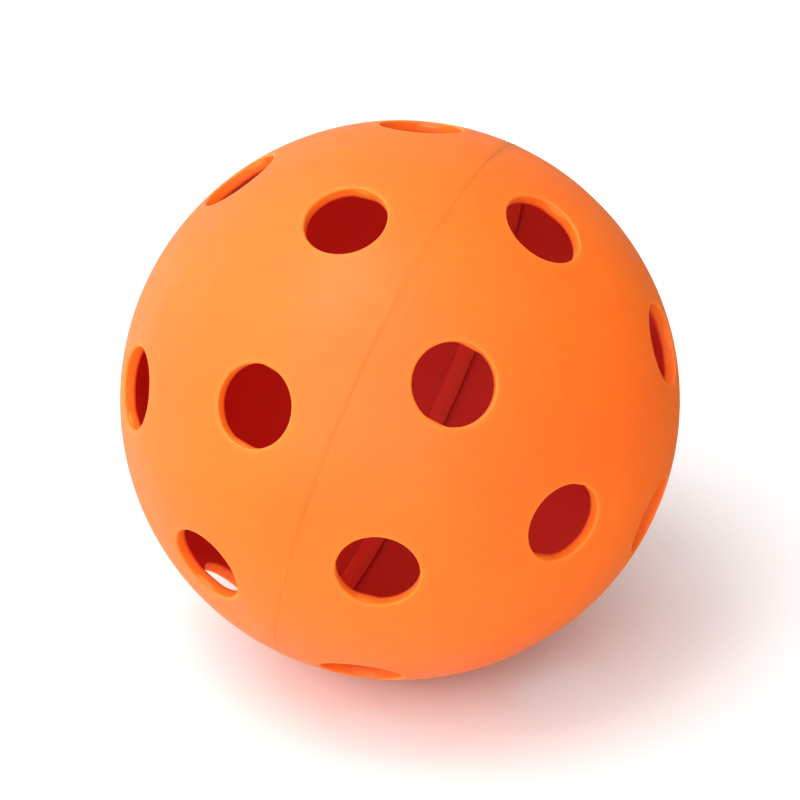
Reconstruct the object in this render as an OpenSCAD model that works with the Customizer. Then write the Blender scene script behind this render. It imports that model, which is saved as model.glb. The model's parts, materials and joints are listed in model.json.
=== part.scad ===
// Perforated pickleball ball: two moulded half shells, a spigot joint and its weld.
// The ball stands as it lies on a floor: on one hole, with its poles to the sides.
// Origin at the ball's centre, +Z up, millimetres.

/* [Ball] */
// Outside diameter
ball_d = 74; // [72.9:0.1:75.4]
// Thickness of the shell
wall = 1.7; // [1.6:0.05:2.2]

/* [Holes] */
// Diameter of each hole
hole_d = 10.9; // [9.5:0.1:11.5]
// Radius of the rounded edge where a hole meets the outside
rim_r = 0.3; // [0.1:0.05:0.5]
// Distance of a hole's two moulded flats from its axis, as a share of its radius
flat_share = 0.957; // [0.93:0.001:0.99]
// Holes in the ring beside the seam, in each half
low_count = 8; // [6:2:8]
// Angle of that ring above the seam, in degrees
low_lat = 17.8; // [16:0.1:20]
// Holes in the ring beside the pole, in each half
high_count = 4; // [3:1:4]
// Angle of that ring above the seam, in degrees
high_lat = 53.6; // [51:0.1:55]
// Turn of the high ring against the low ring, in degrees
high_turn = 67.5; // [0:22.5:90]

/* [Joint] */
// Turn of the spigot half about the poles against the socket half, in degrees
half_turn = 66.7; // [0:0.1:90]
// How far the spigot lip reaches past the seam, and its land back from it
lip_reach = 1.25; // [0.8:0.05:2]
// How far the lip and its land stand in from the shell's inner face
lip_proud = 0.5; // [0.3:0.05:0.8]
// Radial play between the lip and the rebate that it enters
lip_play = 0.05; // [0.02:0.01:0.1]
// Lead-in chamfer on the lip's tip
lip_chamfer = 0.25; // [0.1:0.05:0.4]

/* [Weld] */
// Thickness of the weld between the two butted edges
weld_h = 0.24; // [0.16:0.02:0.4]
// Height of the weld line above the outside of the ball
weld_proud = 0.05; // [0.02:0.01:0.1]

/* [Colours] */
// Colour of the half shells
shell_colour = "darkorange"; // [darkorange, orange, yellow, limegreen, deepskyblue]
// Colour of the weld
weld_colour = "orangered"; // [orangered, orange, gold, green, steelblue]

/* [Hidden] */
$fn = 96;
eps = 0.01;
over = 2;
ball_r = ball_d / 2;
inner_r = ball_r - wall;
hole_r = hole_d / 2;
land_r = inner_r - lip_proud;
rebate_r = ball_r - wall / 2;
lip_r = rebate_r - lip_play;
seam_z = weld_h / 2;
// Centre of the rounded edge of a hole, from the hole's axis and the ball's centre
rim_x = hole_r + rim_r;
rim_z = sqrt(pow(ball_r - rim_r, 2) - pow(rim_x, 2));
rim_out = (ball_r + over) / (ball_r - rim_r);

// Everything below is drawn about the poles, with the seam on Z = 0, and then stood on
// the low hole at longitude 0
module as_it_lies() {
    rotate([0, 90 + low_lat, 0])
        children();
}

// The spigot half is the same moulding turned over and about the poles
module turned_over() {
    rotate([0, 0, half_turn])
        rotate([180, 0, 0])
            children();
}

// Places something that lies along +Z at one longitude and latitude
module toward(lon, lat) {
    rotate([0, 0, lon])
        rotate([0, 90 - lat, 0])
            children();
}

// Outside edge of a hole: all that stands past the rounded rim
module rim_cutter() {
    rotate_extrude()
        difference() {
            polygon([
                [0, rim_z],
                [rim_x, rim_z],
                [rim_x * rim_out, rim_z * rim_out],
                [0, rim_z * rim_out]
            ]);
            translate([rim_x, rim_z])
                circle(r = rim_r);
        }
}

// Straight round bore, from inside the hollow to past the outside
module bore_cutter() {
    translate([0, 0, inner_r - over])
        cylinder(r = hole_r, h = wall + 2 * over);
}

// Hole at a pole, round all the way
module round_hole() {
    bore_cutter();
    rim_cutter();
}

// Hole in a ring, with a flat to the east and to the west below its rounded rim
module flatted_hole() {
    intersection() {
        bore_cutter();
        translate([-hole_r - eps, -hole_r * flat_share, 0])
            cube([2 * (hole_r + eps), 2 * hole_r * flat_share, ball_r + 2 * over]);
    }
    rim_cutter();
}

// All holes of one half: one at the pole and two rings
module half_holes() {
    round_hole();
    for (i = [0 : low_count - 1])
        toward(i * 360 / low_count, low_lat)
            flatted_hole();
    for (i = [0 : high_count - 1])
        toward(high_turn + i * 360 / high_count, high_lat)
            flatted_hole();
}

// Section of the plain shell on one side of the seam
module shell_section() {
    intersection() {
        difference() {
            circle(r = ball_r);
            circle(r = inner_r);
        }
        translate([0, seam_z])
            square([ball_r + over, ball_r + over]);
    }
}

// Section of the socket half: its edge is stepped to take the lip, whose tip seats on the step
module socket_section() {
    difference() {
        shell_section();
        translate([0, -over])
            square([rebate_r, over + lip_reach]);
    }
}

// Section of the spigot half: a land behind the seam, and a lip in front of it
module spigot_section() {
    shell_section();
    difference() {
        polygon([
            [0, -lip_reach],
            [lip_r - lip_chamfer, -lip_reach],
            [lip_r, -lip_reach + lip_chamfer],
            [lip_r, lip_reach],
            [0, lip_reach]
        ]);
        circle(r = land_r);
    }
}

// Turned about the poles, with the sphere's own seam kept clear of every hole
module turned_section() {
    rotate([0, 0, 180 / low_count])
        rotate_extrude()
            children();
}

// The half whose stepped edge takes the lip; the ball lies on one of its low holes
module socket_half_shell() {
    color(shell_colour)
        as_it_lies()
            difference() {
                turned_section()
                    socket_section();
                half_holes();
            }
}

// The half that carries the lip
module spigot_half_shell() {
    color(shell_colour)
        as_it_lies()
            turned_over()
                difference() {
                    turned_section()
                        spigot_section();
                    half_holes();
                }
}

// Ring of melted and set plastic between the butted edges, which shows as a fine line
module weld_bead() {
    bead_r = weld_h / 2;
    color(weld_colour)
        as_it_lies()
            rotate_extrude() {
                translate([rebate_r, -bead_r])
                    square([ball_r + weld_proud - bead_r - rebate_r, weld_h]);
                translate([ball_r + weld_proud - bead_r, 0])
                    circle(r = bead_r);
            }
}

socket_half_shell();
spigot_half_shell();
weld_bead();
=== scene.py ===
"""Pickleball ball: two moulded half shells, welded round the middle, on a pale studio floor."""

import json

import bpy
import numpy as np
from bpy.props import BoolProperty, FloatProperty, FloatVectorProperty, IntProperty, PointerProperty
from mathutils import Matrix, Vector
from mathutils.geometry import delaunay_2d_cdt


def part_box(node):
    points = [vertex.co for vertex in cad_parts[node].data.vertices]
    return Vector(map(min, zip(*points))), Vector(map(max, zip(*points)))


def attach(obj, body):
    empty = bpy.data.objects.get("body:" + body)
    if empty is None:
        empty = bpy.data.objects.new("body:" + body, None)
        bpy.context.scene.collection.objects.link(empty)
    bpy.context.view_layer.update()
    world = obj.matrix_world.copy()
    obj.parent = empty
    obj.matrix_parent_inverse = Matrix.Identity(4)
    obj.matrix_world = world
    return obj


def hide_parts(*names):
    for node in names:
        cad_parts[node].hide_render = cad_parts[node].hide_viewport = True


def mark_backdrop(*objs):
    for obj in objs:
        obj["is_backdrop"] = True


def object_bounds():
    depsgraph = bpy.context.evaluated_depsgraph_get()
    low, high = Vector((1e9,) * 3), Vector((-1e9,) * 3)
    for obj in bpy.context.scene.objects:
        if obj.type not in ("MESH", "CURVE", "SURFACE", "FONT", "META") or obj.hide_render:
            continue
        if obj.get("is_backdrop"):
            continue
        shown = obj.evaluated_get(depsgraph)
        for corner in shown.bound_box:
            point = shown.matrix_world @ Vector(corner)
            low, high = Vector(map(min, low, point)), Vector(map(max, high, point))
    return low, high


bl_info = {
    "name": "Perforated Ball",
    "version": (1, 0, 0),
    "blender": (4, 5, 0),
    "location": "View3D > Sidebar > Ball",
    "description": "Builds a welded, perforated plastic ball around its packed frame",
    "category": "Add Mesh",
}

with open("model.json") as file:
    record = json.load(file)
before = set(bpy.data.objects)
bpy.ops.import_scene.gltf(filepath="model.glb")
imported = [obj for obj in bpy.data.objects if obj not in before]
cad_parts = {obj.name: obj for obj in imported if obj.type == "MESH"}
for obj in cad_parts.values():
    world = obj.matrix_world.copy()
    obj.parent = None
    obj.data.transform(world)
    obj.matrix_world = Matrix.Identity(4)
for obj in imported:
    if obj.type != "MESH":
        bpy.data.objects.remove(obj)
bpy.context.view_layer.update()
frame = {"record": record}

MM = 0.001
MOUNTS = {mount["name"]: mount for mount in frame["record"]["mounts"]}
POLE_BORE = MOUNTS["pole_bore"]
REST_HOLE = MOUNTS["rest_hole"]
POLE_AXIS = Vector(POLE_BORE["axis"]).normalized()
BORE_R = POLE_BORE["dims"]["r_mm"] * MM
WELD_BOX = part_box("weld_bead")
WELD_PROUD = 0.05 * MM
BALL_R = (WELD_BOX[1].y - WELD_BOX[0].y) / 2 - WELD_PROUD
LOW_LAT = float(np.arcsin(-POLE_AXIS.z))


# ---------------------------------------------------------------- settings


class BallSizes(bpy.types.PropertyGroup):
    """Sizes of the ball that its two mouldings and the weld are made from."""

    ball_radius: FloatProperty(
        name="Ball radius", description="Outside radius of the ball",
        default=BALL_R, min=0.03, max=0.05, subtype="DISTANCE", unit="LENGTH",
    )
    wall: FloatProperty(
        name="Wall", description="Thickness of the shell",
        default=1.7 * MM, min=0.001, max=0.003, subtype="DISTANCE", unit="LENGTH",
    )
    bore_radius: FloatProperty(
        name="Hole radius", description="Radius of each hole",
        default=BORE_R, min=0.004, max=0.006, subtype="DISTANCE", unit="LENGTH",
    )
    rim_radius: FloatProperty(
        name="Rim rounding", description="Rounded edge where a hole meets the outside",
        default=0.3 * MM, min=0.0001, max=0.0006, subtype="DISTANCE", unit="LENGTH",
    )
    inner_rim_radius: FloatProperty(
        name="Inner rim rounding", description="Rounded edge where a hole meets the hollow",
        default=0.12 * MM, min=0.00005, max=0.0003, subtype="DISTANCE", unit="LENGTH",
    )
    flat_share: FloatProperty(
        name="Flats",
        description="Distance of a hole's two flats from its axis, as a share of its radius",
        default=0.957, min=0.9, max=1.0, subtype="FACTOR",
    )
    flat_blend: FloatProperty(
        name="Flat blend", description="Depth over which the hole narrows to its flats, below the rim",
        default=0.4 * MM, min=0.0001, max=0.001, subtype="DISTANCE", unit="LENGTH",
    )
    low_count: IntProperty(
        name="Low ring", description="Holes beside the seam in each half", default=8, min=6, max=8,
    )
    low_lat: FloatProperty(
        name="Low ring angle", description="Angle of the low ring above the seam",
        default=LOW_LAT, min=0.2, max=0.4, subtype="ANGLE", unit="ROTATION",
    )
    high_count: IntProperty(
        name="High ring", description="Holes beside the pole in each half", default=4, min=3, max=4,
    )
    high_lat: FloatProperty(
        name="High ring angle", description="Angle of the high ring above the seam",
        default=float(np.radians(53.6)), min=0.8, max=1.0, subtype="ANGLE", unit="ROTATION",
    )
    high_turn: FloatProperty(
        name="High ring turn", description="Turn of the high ring against the low ring",
        default=float(np.radians(67.5)), min=0, max=1.6, subtype="ANGLE", unit="ROTATION",
    )
    half_turn: FloatProperty(
        name="Half turn",
        description="Turn of the spigot half about the poles against the socket half",
        default=float(np.radians(66.7)), min=0, max=1.6, subtype="ANGLE", unit="ROTATION",
    )
    lip_reach: FloatProperty(
        name="Lip reach",
        description="How far the lip reaches past the seam, and its land back from it",
        default=1.25 * MM, min=0.0008, max=0.002, subtype="DISTANCE", unit="LENGTH",
    )
    lip_proud: FloatProperty(
        name="Lip height",
        description="How far the lip and its land stand in from the inner face",
        default=0.5 * MM, min=0.0003, max=0.0008, subtype="DISTANCE", unit="LENGTH",
    )
    lip_play: FloatProperty(
        name="Lip play", description="Radial play between the lip and the stepped edge",
        default=0.05 * MM, min=0.00002, max=0.0001, subtype="DISTANCE", unit="LENGTH",
    )
    lip_chamfer: FloatProperty(
        name="Lip chamfer", description="Lead-in chamfer on the lip's tip",
        default=0.25 * MM, min=0.0001, max=0.0004, subtype="DISTANCE", unit="LENGTH",
    )
    weld_height: FloatProperty(
        name="Weld thickness", description="Thickness of the weld between the butted edges",
        default=0.24 * MM, min=0.0001, max=0.0005, subtype="DISTANCE", unit="LENGTH",
    )
    weld_proud: FloatProperty(
        name="Weld line", description="Height of the weld line above the outside",
        default=WELD_PROUD, min=0.00001, max=0.0001, subtype="DISTANCE", unit="LENGTH",
    )
    weld_sink: FloatProperty(
        name="Weld foot", description="Depth of the weld line's two feet below the outside",
        default=0.015 * MM, min=0, max=0.0001, subtype="DISTANCE", unit="LENGTH",
    )
    grid_step: FloatProperty(
        name="Mesh step", description="Distance between neighbouring points on the shell",
        default=0.85 * MM, min=0.0005, max=0.003, subtype="DISTANCE", unit="LENGTH",
    )
    hole_steps: IntProperty(
        name="Hole steps", description="Points round each hole", default=96, min=24, max=160,
    )
    seam_steps: IntProperty(
        name="Seam steps", description="Points round the seam", default=320, min=96, max=480,
    )


class PlasticFinish(bpy.types.PropertyGroup):
    """Colours and surface finish of the moulded plastic."""

    outer_colour: FloatVectorProperty(
        name="Outer colour", description="Colour of the plastic on the outside and on the hole walls",
        default=(0.96, 0.161, 0.009), size=3, min=0, max=1, subtype="COLOR",
    )
    # Painted shade: the hollow side of the wall is painted a deeper red than the outside, standing in
    # for the shade and the light reddened by bouncing inside the hollow.
    hollow_painted_shade: FloatVectorProperty(
        name="Hollow colour", description="Deeper colour of the thin wall seen from the hollow",
        default=(0.72, 0.022, 0.011), size=3, min=0, max=1, subtype="COLOR",
    )
    # Painted light and shade: the lip's band in the hollow is painted a deep red like the hollow's
    # painted shade, but lighter than it, standing in for the light that the thicker double wall sends
    # back.
    lip_painted_light_and_shade: FloatVectorProperty(
        name="Lip colour", description="Colour of the double wall where the lip lies",
        default=(0.95, 0.05, 0.022), size=3, min=0, max=1, subtype="COLOR",
    )
    rim_colour: FloatVectorProperty(
        name="Rim colour",
        description="Lighter colour of the hole rims, where light comes in from both faces",
        default=(1.0, 0.19, 0.014), size=3, min=0, max=1, subtype="COLOR",
    )
    rim_fade: FloatProperty(
        name="Rim fade", description="Distance from a rim over which its lighter colour fades",
        default=0.8 * MM, min=0.0001, max=0.003, subtype="DISTANCE", unit="LENGTH",
    )
    flow_shade: FloatVectorProperty(
        name="Flow shade", description="Tint of the slow streaks where the melt flowed",
        default=(0.98, 0.9, 0.88), size=3, min=0, max=1, subtype="COLOR",
    )
    weld_shade: FloatVectorProperty(
        name="Weld shade",
        description="Tint of the stretches of the seam where the melt set deeper",
        default=(0.93, 0.7, 0.75), size=3, min=0, max=1, subtype="COLOR",
    )
    roughness_low: FloatProperty(
        name="Lowest roughness", description="Roughness of the shiniest spots",
        default=0.38, min=0, max=1, subtype="FACTOR",
    )
    roughness_high: FloatProperty(
        name="Highest roughness", description="Roughness of the dullest spots",
        default=0.48, min=0, max=1, subtype="FACTOR",
    )
    shine: FloatProperty(
        name="Shine", description="Strength of the plain reflection off the surface",
        default=0.28, min=0, max=1, subtype="FACTOR",
    )
    glow_share: FloatProperty(
        name="Glow", description="Share of the shells' light that spreads inside the plastic",
        default=0.8, min=0, max=1, subtype="FACTOR",
    )
    glow: FloatProperty(
        name="Glow depth", description="How far light spreads inside the plastic",
        default=2.6 * MM, min=0, max=0.01, subtype="DISTANCE", unit="LENGTH",
    )
    grain_size: FloatProperty(
        name="Grain size", description="Size of the mould's fine grain",
        default=0.3 * MM, min=0.00005, max=0.002, subtype="DISTANCE", unit="LENGTH",
    )
    grain_depth: FloatProperty(
        name="Grain depth", description="Depth of the mould's fine grain",
        default=0.013 * MM, min=0, max=0.0001, subtype="DISTANCE", unit="LENGTH",
    )


class Studio(bpy.types.PropertyGroup):
    """Camera, floor and lights."""

    camera_turn: FloatProperty(
        name="Camera turn", description="Direction of the camera round the ball, from -Y towards +X",
        default=float(np.radians(23.3)), subtype="ANGLE", unit="ROTATION",
    )
    camera_height: FloatProperty(
        name="Camera height", description="Angle of the camera above the floor",
        default=float(np.radians(31.3)), subtype="ANGLE", unit="ROTATION",
    )
    camera_roll: FloatProperty(
        name="Camera roll", description="Turn of the camera about its own line of sight",
        default=float(np.radians(-2.95)), subtype="ANGLE", unit="ROTATION",
    )
    camera_distance: FloatProperty(
        name="Camera distance", description="Distance from the camera to the ball's centre",
        default=0.805, min=0.2, max=3, subtype="DISTANCE", unit="LENGTH",
    )
    ball_share: FloatProperty(
        name="Ball in frame", description="Share of the frame's width that the ball fills",
        default=0.7, min=0.2, max=0.95, subtype="FACTOR",
    )
    show_floor: BoolProperty(
        name="Floor", description="Whether the floor is made", default=True,
    )
    floor_reach: FloatProperty(
        name="Floor reach", description="Distance from the ball to the floor's edges",
        default=6.0, min=1, max=20, subtype="DISTANCE", unit="LENGTH",
    )
    air_turn: FloatProperty(
        name="Air turn",
        description="Direction of the surroundings' brightest side, counted from the camera's",
        default=-1.15, subtype="ANGLE", unit="ROTATION",
    )
    air_rise: FloatProperty(
        name="Air height", description="Angle of the surroundings' brightest side above the floor",
        default=0.35, subtype="ANGLE", unit="ROTATION",
    )
    air_dark: FloatProperty(
        name="Air, dark side", description="Strength of the surroundings on their dark side",
        default=0.05, min=0, max=5,
    )
    air_bright: FloatProperty(
        name="Air, bright side", description="Strength of the surroundings on their bright side",
        default=1.92, min=0, max=5,
    )
    overhead_power: FloatProperty(
        name="Overhead softbox", description="Power of the softbox over the ball",
        default=3.6, min=0, max=50, subtype="POWER", unit="POWER",
    )
    front_power: FloatProperty(
        name="Front softbox", description="Power of the wide softbox in front of the ball",
        default=4.8, min=0, max=50, subtype="POWER", unit="POWER",
    )
    softbox_distance: FloatProperty(
        name="Softbox distance", description="Distance from each softbox to the ball's centre",
        default=0.95, min=0.3, max=3, subtype="DISTANCE", unit="LENGTH",
    )


# ---------------------------------------------------------------- shapes


def turn_z(angle):
    """Turn about the poles."""
    c, s = np.cos(angle), np.sin(angle)
    return np.array([[c, -s, 0], [s, c, 0], [0, 0, 1]])


def turn_y(angle):
    """Turn about Y, from +Z towards +X."""
    c, s = np.cos(angle), np.sin(angle)
    return np.array([[c, 0, s], [0, 1, 0], [-s, 0, c]])


def as_it_lies(sizes):
    """Turn that stands the ball on the low hole at longitude 0."""
    return turn_y(np.pi / 2 + sizes.low_lat)


def turned_over(sizes):
    """Turn that carries a half to the other side of the seam: over, then about the poles."""
    return turn_z(sizes.half_turn) @ np.diag([1.0, -1.0, -1.0])


def hole_frames(sizes):
    """One 3x3 matrix for each hole of a half: columns run south, east and out along its axis.

    The first hole is at the pole. A hole at longitude a and latitude b is turned by 90 - b
    degrees about Y and then by a about Z."""
    low = [(i * 2 * np.pi / sizes.low_count, sizes.low_lat) for i in range(sizes.low_count)]
    high = [
        (sizes.high_turn + i * 2 * np.pi / sizes.high_count, sizes.high_lat)
        for i in range(sizes.high_count)
    ]
    places = [(0.0, np.pi / 2)] + low + high
    return np.array([turn_z(lon) @ turn_y(np.pi / 2 - lat) for lon, lat in places])


def circle_angles(count):
    """Evenly spaced angles round a full turn."""
    return np.arange(count) * 2 * np.pi / count


def fibonacci_directions(step):
    """Unit vectors spread evenly over a sphere, step apart on its unit radius.

    Each point has the area of a cell in a net of even triangles, step squared times the sine of
    60 degrees. Point i of n is at height 1 - (2i + 1)/n, turned by i golden angles about the pole."""
    count = int(4 * np.pi / (0.866 * step * step))
    i = np.arange(count)
    z = 1 - (2 * i + 1) / count
    angle = i * np.pi * (3 - np.sqrt(5))
    r = np.sqrt(1 - z * z)
    return np.stack([r * np.cos(angle), r * np.sin(angle), z], axis=1)


def ring_directions(frames, angle, count):
    """Unit vectors on a circle round each hole, at one angle from the hole's axis.

    In the hole's frame a point is (sin angle cos t, sin angle sin t, cos angle)."""
    t = circle_angles(count)
    local = np.stack(
        [np.sin(angle) * np.cos(t), np.sin(angle) * np.sin(t), np.full(count, np.cos(angle))], axis=1
    )
    return np.einsum("hij,tj->hti", frames, local)


def seam_directions(lat, count):
    """Unit vectors round the poles at one latitude."""
    t = circle_angles(count)
    height = np.full(count, np.sin(lat))
    return np.stack([np.cos(lat) * np.cos(t), np.cos(lat) * np.sin(t), height], axis=1)


class ShellNet:
    """Triangles over one half of a unit sphere, between the seam's margin and the holes' margins.

    The points are one ring along the seam, one ring round each hole and an even spread between
    them. They are flattened by the stereographic map (x, y) / (1 + z), which keeps circles round,
    and joined there by Delaunay's rule. Both faces of the shell share this net.

    SEAM_MARGIN is the latitude of the seam's ring, and HOLE_MARGIN is a hole's ring as a share of
    its rim's angle. RING_GAP and FREE_GAP are the room kept outside a ring, in mesh steps: up to
    the next ring, and from a hole's ring to the even spread."""

    SEAM_MARGIN = 3.2 * np.pi / 180
    HOLE_MARGIN = 1.12
    RING_GAP = 0.7
    FREE_GAP = 1.35

    def __init__(self, sizes):
        self.frames = hole_frames(sizes)
        self.seam_steps = sizes.seam_steps
        self.hole_steps = sizes.hole_steps
        step = sizes.grid_step / sizes.ball_radius
        rim = (sizes.bore_radius + sizes.rim_radius) / (sizes.ball_radius - sizes.rim_radius)
        self.hole_angle = self.HOLE_MARGIN * float(np.arcsin(rim))
        seam = seam_directions(self.SEAM_MARGIN, self.seam_steps)
        rings = ring_directions(self.frames, self.hole_angle, self.hole_steps)
        second_angle = self.hole_angle + self.RING_GAP * step
        second = ring_directions(self.frames, second_angle, self.hole_steps * 3 // 4)
        free = fibonacci_directions(step)
        free = free[free[:, 2] > np.sin(self.SEAM_MARGIN + self.RING_GAP * step)]
        nearest = np.arccos(np.clip(free @ self.frames[:, :, 2].T, -1, 1)).min(axis=1)
        free = free[nearest > self.hole_angle + self.FREE_GAP * step]
        points = np.concatenate([seam, rings.reshape(-1, 3), second.reshape(-1, 3), free])
        flat = points[:, :2] / (1 + points[:, 2:])
        found = delaunay_2d_cdt([Vector(p) for p in flat], [], [], 0, 1e-9)
        sources = np.array([s[0] for s in found[3]])
        faces = sources[np.array(found[2])]
        middle = points[faces].sum(axis=1)
        middle /= np.linalg.norm(middle, axis=1, keepdims=True)
        away = np.arccos(np.clip(middle @ self.frames[:, :, 2].T, -1, 1)).min(axis=1)
        self.faces = faces[away > self.hole_angle * np.cos(np.pi / self.hole_steps)]
        self.points = points
        self.seam_loop = np.arange(self.seam_steps)
        self.hole_loops = self.seam_steps + np.arange(len(self.frames) * self.hole_steps).reshape(
            len(self.frames), self.hole_steps
        )


# Angle along a sphere that is kept clear of a seam corner, so that the corner can be rounded
CORNER_ROOM = 0.004
LAND_CORNER_ROOM = 0.006


def arc(centre, radius, start, stop, steps):
    """Points along a circular arc, from one angle to another, ends included."""
    t = np.linspace(start, stop, steps + 1)
    return np.stack([centre[0] + radius * np.cos(t), centre[1] + radius * np.sin(t)], axis=1)


def rounded(corners, radii, steps=3):
    """An outline with each inner corner rounded by its own radius.

    Each corner gives way to a short curve between points that lie its radius back along both
    sides: the quadratic curve with the corner as its control point."""
    corners = np.asarray(corners, float)
    before = corners[:-2] - corners[1:-1]
    after = corners[2:] - corners[1:-1]
    before_len = np.linalg.norm(before, axis=1)
    after_len = np.linalg.norm(after, axis=1)
    cut = np.minimum(radii, 0.45 * np.minimum(before_len, after_len))
    a = corners[1:-1] + before / before_len[:, None] * cut[:, None]
    b = corners[1:-1] + after / after_len[:, None] * cut[:, None]
    t = np.linspace(0, 1, steps + 1)[None, :, None]
    curve = (1 - t) ** 2 * a[:, None] + 2 * t * (1 - t) * corners[1:-1][:, None] + t ** 2 * b[:, None]
    return np.concatenate([corners[:1], curve.reshape(-1, 2), corners[-1:]])


def sphere_stretch(radius, low, high, steps):
    """Section points (distance from the poles' line, height) on a sphere between two latitudes."""
    lat = np.linspace(low, high, steps + 1)
    return np.stack([radius * np.cos(lat), radius * np.sin(lat)], axis=1)


def on_sphere(radius, height):
    """Section point on a sphere at one height."""
    return [np.sqrt(radius ** 2 - height ** 2), height]


def socket_edge(sizes, lat):
    """Section of the socket half's edge, from the outer face round to the inner face.

    Down the outer sphere to the seam, in over the butt face, up the step that takes the lip,
    in to the inner sphere and up it. Each corner has its own rounding."""
    outer, inner = sizes.ball_radius, sizes.ball_radius - sizes.wall
    butt, reach = sizes.weld_height / 2, sizes.lip_reach
    step_r = sizes.ball_radius - sizes.wall / 2
    down = sphere_stretch(outer, lat, np.arcsin(butt / outer) + CORNER_ROOM, 5)
    up = sphere_stretch(inner, np.arcsin(reach / inner) + CORNER_ROOM, lat, 3)
    corners = [on_sphere(outer, butt), [step_r, butt], [step_r, reach], on_sphere(inner, reach)]
    radii = np.array([0.02, 0.05, 0.05, 0.02]) * MM
    bend = rounded([down[-1], *corners, up[0]], radii)
    return np.concatenate([down[:-1], bend, up[1:]])


def spigot_edge(sizes, lat):
    """Section of the spigot half's edge, from the outer face round to the inner face.

    Down the outer sphere to the seam, in over the butt face, down the outside of the lip, round
    its chamfered tip, up the lip and its land, out to the inner sphere and up it. Each corner has
    its own rounding, softest at the lip's inner tip and at the land's end."""
    outer, inner = sizes.ball_radius, sizes.ball_radius - sizes.wall
    butt, reach = sizes.weld_height / 2, sizes.lip_reach
    lip_r = sizes.ball_radius - sizes.wall / 2 - sizes.lip_play
    land_r = inner - sizes.lip_proud
    chamfer = sizes.lip_chamfer
    down = sphere_stretch(outer, lat, np.arcsin(butt / outer) + CORNER_ROOM, 5)
    up = sphere_stretch(inner, np.arcsin(reach / inner) + LAND_CORNER_ROOM, lat, 3)
    corners = [
        on_sphere(outer, butt), [lip_r, butt], [lip_r, -reach + chamfer], [lip_r - chamfer, -reach],
        on_sphere(land_r, -reach), on_sphere(land_r, -reach / 3), on_sphere(land_r, reach / 3),
        on_sphere(land_r, reach), on_sphere(inner, reach),
    ]
    radii = np.array([0.06, 0.05, 0.05, 0.05, 0.3, 0.1, 0.1, 0.25, 0.2]) * MM
    bend = rounded([down[-1], *corners, up[0]], radii)
    return np.concatenate([down[:-1], bend, up[1:]])


def collar(sizes, margin, count, flats):
    """Section of a hole's wall for each angle round it: (distance from its axis, height along it).

    Down the outer sphere from the margin, over the rounded rim, down the bore and round the inner
    rim to the inner sphere. Past the rounded rim a ring hole narrows to two flats, whose distance
    from the axis is flat / |sin t|, where that is less than the bore's radius. It narrows along
    the smooth step s * s * (3 - 2 * s) of the depth's share s."""
    outer, inner = sizes.ball_radius, sizes.ball_radius - sizes.wall
    bore, rim, lip = sizes.bore_radius, sizes.rim_radius, sizes.inner_rim_radius
    t = circle_angles(count)
    narrow = bore * sizes.flat_share / np.maximum(np.abs(np.sin(t)), 1e-6)
    wall_r = np.minimum(bore, narrow) if flats else np.full(count, bore)
    rim_x = bore + rim
    rim_z = np.sqrt((outer - rim) ** 2 - rim_x ** 2)
    rim_angle = np.arctan2(rim_z, rim_x)
    top = np.linspace(margin, np.pi / 2 - rim_angle, 4)[:-1]
    shoulder = np.stack([outer * np.sin(top), outer * np.cos(top)], axis=1)
    edge = arc((rim_x, rim_z), rim, rim_angle, np.pi, 7)
    fixed = np.concatenate([shoulder, edge])
    out = np.broadcast_to(fixed[:, None, :], (len(fixed), count, 2))
    share = np.array([0.2, 0.4, 0.6, 0.8, 1.0])[:, None]
    ledge_r = bore + (wall_r - bore)[None] * share ** 2 * (3 - 2 * share)
    ledge_z = rim_z - share * sizes.flat_blend
    ledge = np.stack([ledge_r, np.broadcast_to(ledge_z, ledge_r.shape)], axis=2)
    lip_x = wall_r + lip
    lip_z = np.sqrt((inner + lip) ** 2 - lip_x ** 2)
    shaft_z = ledge_z[-1] + (lip_z - ledge_z[-1])[None] * np.array([0.35, 0.7])[:, None]
    shaft = np.stack([np.broadcast_to(wall_r, shaft_z.shape), shaft_z], axis=2)
    end_angle = np.arctan2(lip_z, lip_x) + np.pi
    turn = np.pi + (end_angle - np.pi)[None] * np.linspace(0, 1, 5)[:, None]
    bend = np.stack([lip_x + lip * np.cos(turn), lip_z + lip * np.sin(turn)], axis=2)
    foot = np.arctan2(bend[-1, :, 0], bend[-1, :, 1])
    spread = foot + (margin - foot)[None] * np.array([0.33, 0.67, 1.0])[:, None]
    under = np.stack([inner * np.sin(spread), inner * np.cos(spread)], axis=2)
    return np.concatenate([out, ledge, shaft, bend, under])


def collar_points(section, hole):
    """Carries a hole's section round its axis: (r cos t, r sin t, h) in the hole's frame."""
    t = circle_angles(section.shape[1])
    r, h = section[..., 0], section[..., 1]
    return np.stack([r * np.cos(t), r * np.sin(t), h], axis=2) @ hole.T


def turned_points(section, count):
    """Carries a section round the poles: (r cos t, r sin t, z)."""
    t = circle_angles(count)
    r, z = section[:, :1], np.broadcast_to(section[:, 1:], (len(section), count))
    return np.stack([r * np.cos(t), r * np.sin(t), z], axis=2)


def band_quads(rows):
    """Quads between neighbouring rows of point numbers, closed round each row."""
    a, b = rows[:-1], rows[1:]
    return np.stack([a, b, np.roll(b, -1, axis=1), np.roll(a, -1, axis=1)], axis=2).reshape(-1, 4)


def joining_band(band, loop, count, made):
    """Points and quads of a band that joins a loop on the outer sphere to its twin on the inner one.

    The band's first and last row are the net's own points, so only the rows between are new. The
    twin's numbers are count higher, and the new points are numbered on from those made so far."""
    middle = band[1:-1]
    inside = made + np.arange(middle.shape[0] * middle.shape[1]).reshape(middle.shape[:2])
    rows = np.concatenate([loop[None], inside, loop[None] + count])
    return middle.reshape(-1, 3), band_quads(rows)


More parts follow.
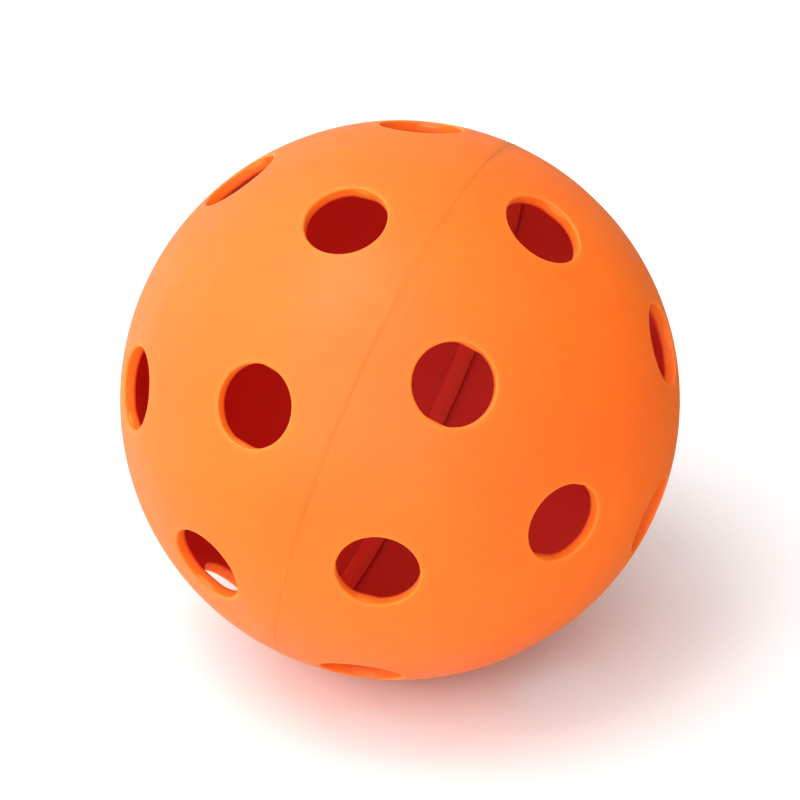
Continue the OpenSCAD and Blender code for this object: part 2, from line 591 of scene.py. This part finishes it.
def half_shell_surface(sizes, edge_section):
    """Closed surface of one half shell, with its pole up and the seam on height 0.

    The net is laid on the outer sphere and, turned inside out, on the inner one. A collar joins
    the two faces round each hole, and the edge section, carried round the poles, joins them along
    the seam."""
    net = ShellNet(sizes)
    count = len(net.points)
    outer, inner = sizes.ball_radius, sizes.ball_radius - sizes.wall
    points = [net.points * outer, net.points * inner]
    quads = []
    made = 2 * count
    for number, hole in enumerate(net.frames):
        band = collar_points(collar(sizes, net.hole_angle, net.hole_steps, number > 0), hole)
        new_points, new_quads = joining_band(band, net.hole_loops[number], count, made)
        points.append(new_points)
        quads.append(new_quads[:, ::-1])
        made += len(new_points)
    band = turned_points(edge_section(sizes, net.SEAM_MARGIN), net.seam_steps)
    new_points, new_quads = joining_band(band, net.seam_loop, count, made)
    points.append(new_points)
    quads.append(new_quads)
    triangles = np.concatenate([net.faces, net.faces[:, ::-1] + count])
    return np.concatenate(points), triangles, np.concatenate(quads)


def weld_surface(sizes, count):
    """Closed ring of weld: a flat band between the butted edges with a low bead outside.

    The bead rises from its two feet as the cosine of an angle that runs from -90 to 90 degrees
    across it. Its height follows a sum of slow waves round the ball, between half and all of its
    full height, because a weld squeezes out unevenly."""
    half = sizes.weld_height / 2
    t = circle_angles(count)
    turns = np.array([3, 7, 13, 29, 53])[:, None]
    phases = np.array([0.4, 2.1, 4.6, 1.3, 5.2])[:, None]
    wave = np.sin(turns * t + phases).sum(axis=0) / len(turns)
    proud = sizes.weld_proud * (0.75 + 0.25 * wave / np.abs(wave).max())
    inside_r = sizes.ball_radius - sizes.wall / 2
    turn = np.linspace(-np.pi / 2, np.pi / 2, 13)
    foot_r = sizes.ball_radius - sizes.weld_sink
    bead_r = foot_r + (sizes.ball_radius + proud - foot_r)[None] * np.cos(turn)[:, None]
    bead_z = np.broadcast_to(half * np.sin(turn)[:, None], bead_r.shape)
    back_r = np.full((2, count), inside_r)
    back_z = np.broadcast_to(np.array([half, -half])[:, None], (2, count))
    r = np.concatenate([bead_r, back_r])
    z = np.concatenate([bead_z, back_z])
    points = np.stack([r * np.cos(t), r * np.sin(t), z], axis=2)
    rows = np.arange(points.shape[0] * count).reshape(points.shape[:2])
    rows = np.concatenate([rows, rows[:1]])
    return points.reshape(-1, 3), np.zeros((0, 3), int), band_quads(rows)[:, ::-1]


def rim_share(sizes, finish, points):
    """How near each point is to a hole's rim: 1 at the rim, fading to 0 away from it.

    The distance of a point p from a hole's axis a is the length of p - (p . a) a. Holes on the
    far side don't count. The share also fades with depth, to 0 at three quarters of the wall."""
    axes = hole_frames(sizes)[:, :, 2]
    along = points @ axes.T
    across = np.sqrt(np.maximum((points ** 2).sum(axis=1)[:, None] - along ** 2, 0))
    across[along < 0] = sizes.ball_radius
    away = np.abs(across.min(axis=1) - sizes.bore_radius - 0.5 * sizes.rim_radius)
    share = np.clip(1 - away / finish.rim_fade, 0, 1)
    depth = (sizes.ball_radius - np.linalg.norm(points, axis=1)) / sizes.wall
    return share * np.clip(1.5 - 2 * depth, 0, 1)


def make_piece(name, surface, turn, material, rim):
    """Puts a surface, turned into place, in a mesh object at the origin with smooth faces.

    The rim share of each point is kept on the mesh, for the plastic's lighter rims."""
    points, triangles, quads = surface
    mesh = bpy.data.meshes.new(name)
    mesh.from_pydata((points @ turn.T).tolist(), [], triangles.tolist() + quads.tolist())
    mesh.attributes.new("rim", "FLOAT", "POINT").data.foreach_set("value", rim.astype(np.float32))
    mesh.polygons.foreach_set("use_smooth", np.ones(len(mesh.polygons), bool))
    mesh.materials.append(material)
    mesh.update()
    piece = bpy.data.objects.new(name, mesh)
    bpy.context.scene.collection.objects.link(piece)
    return piece


# ---------------------------------------------------------------- materials


# Cells in a metre of each noise: the flow's streaks, the patches of gloss, the floor's mottle
FLOW_SCALE = 45.0
GLOSS_SCALE = 160.0
FLOOR_SCALE = 14.0

# Refractive index of polyethylene, and how far red, green and blue spread in it against red
POLYETHYLENE_IOR = 1.51
GLOW_SPREAD = (1.0, 0.3, 0.1)


def add_node(tree, kind, place, **values):
    """Adds a node, with its inputs set by name."""
    node = tree.nodes.new(kind)
    node.location = place
    for key, value in values.items():
        node.inputs[key.replace("_", " ")].default_value = value
    return node


def noise_node(tree, place, scale, detail, roughness=0.5):
    """Noise on the piece's own coordinates."""
    coordinates = tree.nodes.get("Coordinates") or add_node(tree, "ShaderNodeTexCoord", (-1200, 0))
    coordinates.name = "Coordinates"
    noise = add_node(tree, "ShaderNodeTexNoise", place, Scale=scale, Detail=detail, Roughness=roughness)
    tree.links.new(coordinates.outputs["Object"], noise.inputs["Vector"])
    return noise


def map_range(tree, place, source, low, high, to_low, to_high):
    """Stretches a value from one range to another, and holds it at the ends."""
    node = add_node(tree, "ShaderNodeMapRange", place)
    for key, value in (("From Min", low), ("From Max", high), ("To Min", to_low), ("To Max", to_high)):
        node.inputs[key].default_value = value
    tree.links.new(source, node.inputs["Value"])
    return node.outputs["Result"]


def colour_by_depth(tree, sizes, finish):
    """Colour that follows the distance from the ball's centre: lip, hollow side, outside. The hollow
    side carries painted shade, a deeper red than the outside, and the lip carries painted light,
    lighter than the hollow side.

    Between two of its four stops the colour is an even blend."""
    coordinates = tree.nodes["Coordinates"]
    length = add_node(tree, "ShaderNodeVectorMath", (-900, 550))
    length.operation = "LENGTH"
    tree.links.new(coordinates.outputs["Object"], length.inputs[0])
    inner = sizes.ball_radius - sizes.wall
    lowest = inner - sizes.lip_proud
    share = map_range(tree, (-700, 550), length.outputs["Value"], lowest, sizes.ball_radius, 0.0, 1.0)
    ramp = add_node(tree, "ShaderNodeValToRGB", (-500, 550))
    # Painted light on the lip's band and painted shade on the hollow side, then the outside's own
    # colour
    stops = (
        (lowest + 0.2 * MM, finish.lip_painted_light_and_shade),
        (inner - 0.1 * MM, finish.hollow_painted_shade),
        (inner + 0.08 * MM, finish.hollow_painted_shade),
        (inner + 0.45 * MM, finish.outer_colour),
    )
    elements = ramp.color_ramp.elements
    elements.remove(elements[1])
    for number, (radius, colour) in enumerate(stops):
        position = (radius - lowest) / (sizes.ball_radius - lowest)
        element = elements.new(position) if number else elements[0]
        element.position = position
        element.color = (*colour, 1)
    tree.links.new(share, ramp.inputs["Fac"])
    return ramp.outputs["Color"]


def mixed_colour(tree, place, share, colour, onto, blend_type="MIX"):
    """Lays one colour over another colour's output, by a share."""
    mix = tree.nodes.new("ShaderNodeMix")
    mix.data_type = "RGBA"
    mix.blend_type = blend_type
    mix.location = place
    mix.inputs["B"].default_value = (*colour, 1)
    tree.links.new(share, mix.inputs["Factor"])
    tree.links.new(onto, mix.inputs["A"])
    return mix.outputs["Result"]


def moulded_plastic(name, sizes, finish, shade, glow_share):
    """Satin polyethylene: slow flow shade, patchy gloss, fine mould grain and light that sinks in."""
    material = bpy.data.materials.new(name)
    material.use_nodes = True
    tree = material.node_tree
    shader = tree.nodes["Principled BSDF"]
    shader.inputs["IOR"].default_value = POLYETHYLENE_IOR
    shader.inputs["Specular IOR Level"].default_value = finish.shine
    shader.inputs["Subsurface Weight"].default_value = glow_share
    shader.inputs["Subsurface Radius"].default_value = GLOW_SPREAD
    shader.inputs["Subsurface Scale"].default_value = finish.glow
    flow = noise_node(tree, (-900, 300), FLOW_SCALE, 3.0)
    share = map_range(tree, (-650, 300), flow.outputs["Fac"], 0.4, 0.7, 0.0, 1.0)
    rim = add_node(tree, "ShaderNodeAttribute", (-550, 850))
    rim.attribute_name = "rim"
    # Colour by depth, which carries the painted shade of the hollow side and the painted light of the
    # lip's band
    plain = colour_by_depth(tree, sizes, finish)
    edged = mixed_colour(tree, (-350, 450), rim.outputs["Fac"], finish.rim_colour, plain)
    shaded = mixed_colour(tree, (-200, 300), share, shade, edged, "MULTIPLY")
    tree.links.new(shaded, shader.inputs["Base Color"])
    gloss = noise_node(tree, (-900, 0), GLOSS_SCALE, 4.0, 0.6)
    rough = map_range(
        tree, (-650, 0), gloss.outputs["Fac"], 0.35, 0.65, finish.roughness_low, finish.roughness_high
    )
    tree.links.new(rough, shader.inputs["Roughness"])
    grain = noise_node(tree, (-900, -300), 1 / finish.grain_size, 3.0, 0.6)
    bump = add_node(tree, "ShaderNodeBump", (-400, -300), Strength=1.0, Distance=finish.grain_depth)
    tree.links.new(grain.outputs["Fac"], bump.inputs["Height"])
    tree.links.new(bump.outputs["Normal"], shader.inputs["Normal"])
    return material


def shell_plastic(sizes, finish):
    """The plastic that both halves are moulded in, made once."""
    name = "orange_polyethylene"
    made = bpy.data.materials.get(name)
    return made or moulded_plastic(name, sizes, finish, finish.flow_shade, finish.glow_share)


def floor_paint():
    """Pale matt paint with the faint mottle of a rolled coat."""
    material = bpy.data.materials.new("studio_floor_paint")
    material.use_nodes = True
    tree = material.node_tree
    shader = tree.nodes["Principled BSDF"]
    shader.inputs["Specular IOR Level"].default_value = 0.2
    shader.inputs["Roughness"].default_value = 0.75
    mottle = noise_node(tree, (-900, 0), FLOOR_SCALE, 4.0)
    mix = add_node(tree, "ShaderNodeMix", (-400, 0))
    mix.data_type = "RGBA"
    mix.inputs["A"].default_value = (0.78, 0.78, 0.78, 1)
    mix.inputs["B"].default_value = (0.82, 0.82, 0.815, 1)
    tree.links.new(mottle.outputs["Fac"], mix.inputs["Factor"])
    tree.links.new(mix.outputs["Result"], shader.inputs["Base Color"])
    return material


# ---------------------------------------------------------------- stage


# Each softbox's turn from the camera's, angle above the floor, and side length
OVERHEAD_SOFTBOX = (-1.2, 1.25, 0.5)
FRONT_SOFTBOX = (-0.35, 0.5, 1.2)


def direction(turn, rise):
    """Unit vector at an angle round the ball, from -Y towards +X, and an angle above the floor."""
    return Vector((np.sin(turn) * np.cos(rise), -np.cos(turn) * np.cos(rise), np.sin(rise)))


def add_softbox(name, studio, softbox, power):
    """Square softbox that faces the ball's centre."""
    turn, rise, size = softbox
    data = bpy.data.lights.new(name, "AREA")
    data.size = size
    data.energy = power
    light = bpy.data.objects.new(name, data)
    away = direction(studio.camera_turn + turn, rise)
    light.location = away * studio.softbox_distance
    light.rotation_euler = (-away).to_track_quat("-Z", "Y").to_euler()
    bpy.context.scene.collection.objects.link(light)


def studio_air(studio):
    """Soft white surroundings, brightest a little above the floor in one direction.

    The strength falls evenly with a direction's share along the brightest one, from 1 down to
    -0.9, and stays the same past that."""
    world = bpy.data.worlds.new("studio_air")
    world.use_nodes = True
    tree = world.node_tree
    background = tree.nodes["Background"]
    background.inputs["Color"].default_value = (1.0, 1.0, 1.0, 1)
    coordinates = add_node(tree, "ShaderNodeTexCoord", (-600, 0))
    along = add_node(tree, "ShaderNodeVectorMath", (-400, 0))
    along.operation = "DOT_PRODUCT"
    along.inputs[1].default_value = direction(studio.camera_turn + studio.air_turn, studio.air_rise)
    tree.links.new(coordinates.outputs["Generated"], along.inputs[0])
    strength = map_range(
        tree, (-200, 0), along.outputs["Value"], -0.9, 1.0, studio.air_dark, studio.air_bright
    )
    tree.links.new(strength, background.inputs["Strength"])
    return world


def make_floor(height, reach):
    """Flat square grid, wide enough to reach past the frame in every view."""
    side = np.linspace(-reach, reach, 25)
    x, y = np.meshgrid(side, side)
    points = np.stack([x, y, np.full_like(x, height)], axis=2).reshape(-1, 3)
    number = np.arange(x.size).reshape(x.shape)
    quads = np.stack([number[:-1, :-1], number[:-1, 1:], number[1:, 1:], number[1:, :-1]], axis=2)
    mesh = bpy.data.meshes.new("studio_floor")
    mesh.from_pydata(points.tolist(), [], quads.reshape(-1, 4).tolist())
    mesh.materials.append(floor_paint())
    floor = bpy.data.objects.new("studio_floor", mesh)
    floor.visible_glossy = False
    bpy.context.scene.collection.objects.link(floor)
    return floor


def make_camera(context, studio):
    """Camera that looks at the ball's centre.

    The lens is half the sensor times the ball's share of the frame, over the tangent of half the
    angle that the ball fills."""
    back = direction(studio.camera_turn, studio.camera_height)
    half_ball = np.arcsin(context.scene.ball_sizes.ball_radius / studio.camera_distance)
    data = bpy.data.cameras.new("camera")
    data.lens = data.sensor_width / 2 * studio.ball_share / np.tan(half_ball)
    data.clip_start = 0.01
    camera = bpy.data.objects.new("camera", data)
    look = (-back).to_track_quat("-Z", "Y").to_matrix()
    camera.matrix_world = Matrix.Translation(back * studio.camera_distance) @ (
        look @ Matrix.Rotation(studio.camera_roll, 3, "Z")
    ).to_4x4()
    context.scene.collection.objects.link(camera)
    context.scene.camera = camera


# ---------------------------------------------------------------- operators


def place(piece, node, slot):
    """Rides the one body and stands in for the piece's CAD node. The slot is not used."""
    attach(piece, "root")
    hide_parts(node)


class BALL_OT_socket_half(bpy.types.Operator):
    """Make the half shell whose stepped edge takes the lip"""

    bl_idname = "ball.socket_half"
    bl_label = "Socket Half"

    def execute(self, context):
        sizes, finish = context.scene.ball_sizes, context.scene.ball_finish
        material = shell_plastic(sizes, finish)
        surface = half_shell_surface(sizes, socket_edge)
        rim = rim_share(sizes, finish, surface[0])
        piece = make_piece("socket_half_moulding", surface, as_it_lies(sizes), material, rim)
        place(piece, "socket_half_shell", "ball_plastic")
        return {"FINISHED"}


class BALL_OT_spigot_half(bpy.types.Operator):
    """Make the half shell that carries the lip"""

    bl_idname = "ball.spigot_half"
    bl_label = "Spigot Half"

    def execute(self, context):
        sizes, finish = context.scene.ball_sizes, context.scene.ball_finish
        material = shell_plastic(sizes, finish)
        surface = half_shell_surface(sizes, spigot_edge)
        rim = rim_share(sizes, finish, surface[0])
        turn = as_it_lies(sizes) @ turned_over(sizes)
        piece = make_piece("spigot_half_moulding", surface, turn, material, rim)
        place(piece, "spigot_half_shell", "ball_plastic")
        return {"FINISHED"}


class BALL_OT_weld(bpy.types.Operator):
    """Make the ring of weld between the two halves"""

    bl_idname = "ball.weld"
    bl_label = "Weld"

    def execute(self, context):
        sizes, finish = context.scene.ball_sizes, context.scene.ball_finish
        material = moulded_plastic("weld_polyethylene", sizes, finish, finish.weld_shade, 0)
        surface = weld_surface(sizes, 3 * sizes.seam_steps)
        rim = np.zeros(len(surface[0]))
        piece = make_piece("weld_line", surface, as_it_lies(sizes), material, rim)
        place(piece, "weld_bead", "weld_plastic")
        return {"FINISHED"}


class BALL_OT_stage(bpy.types.Operator):
    """Make the floor, the lights and the camera"""

    bl_idname = "ball.stage"
    bl_label = "Stage"

    def execute(self, context):
        scene, studio = context.scene, context.scene.ball_studio
        if studio.show_floor:
            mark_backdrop(make_floor(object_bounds()[0].z, studio.floor_reach))
        scene.world = studio_air(studio)
        scene.view_settings.view_transform = "Standard"
        add_softbox("overhead_softbox", studio, OVERHEAD_SOFTBOX, studio.overhead_power)
        add_softbox("front_softbox", studio, FRONT_SOFTBOX, studio.front_power)
        make_camera(context, studio)
        return {"FINISHED"}


class BALL_PT_panel(bpy.types.Panel):
    """Lists the ball's sizes, finish and pieces"""

    bl_idname = "BALL_PT_panel"
    bl_label = "Perforated Ball"
    bl_space_type = "VIEW_3D"
    bl_region_type = "UI"
    bl_category = "Ball"

    def draw(self, context):
        for group in (context.scene.ball_sizes, context.scene.ball_finish, context.scene.ball_studio):
            box = self.layout.box()
            for name in group.bl_rna.properties.keys():
                if name not in ("rna_type", "name"):
                    box.prop(group, name)
        for operator in OPERATORS:
            self.layout.operator(operator.bl_idname)


OPERATORS = (BALL_OT_socket_half, BALL_OT_spigot_half, BALL_OT_weld, BALL_OT_stage)
CLASSES = (BallSizes, PlasticFinish, Studio, *OPERATORS, BALL_PT_panel)


def register():
    """Registers the classes and hangs the settings on the scene."""
    for item in CLASSES:
        bpy.utils.register_class(item)
    bpy.types.Scene.ball_sizes = PointerProperty(type=BallSizes)
    bpy.types.Scene.ball_finish = PointerProperty(type=PlasticFinish)
    bpy.types.Scene.ball_studio = PointerProperty(type=Studio)


def unregister():
    """Takes the settings and the classes away again."""
    del bpy.types.Scene.ball_studio
    del bpy.types.Scene.ball_finish
    del bpy.types.Scene.ball_sizes
    for item in reversed(CLASSES):
        bpy.utils.unregister_class(item)


def main():
    """Makes every piece and the stage."""
    register()
    bpy.ops.ball.socket_half()
    bpy.ops.ball.spigot_half()
    bpy.ops.ball.weld()
    bpy.ops.ball.stage()


if __name__ == "__main__":
    main()
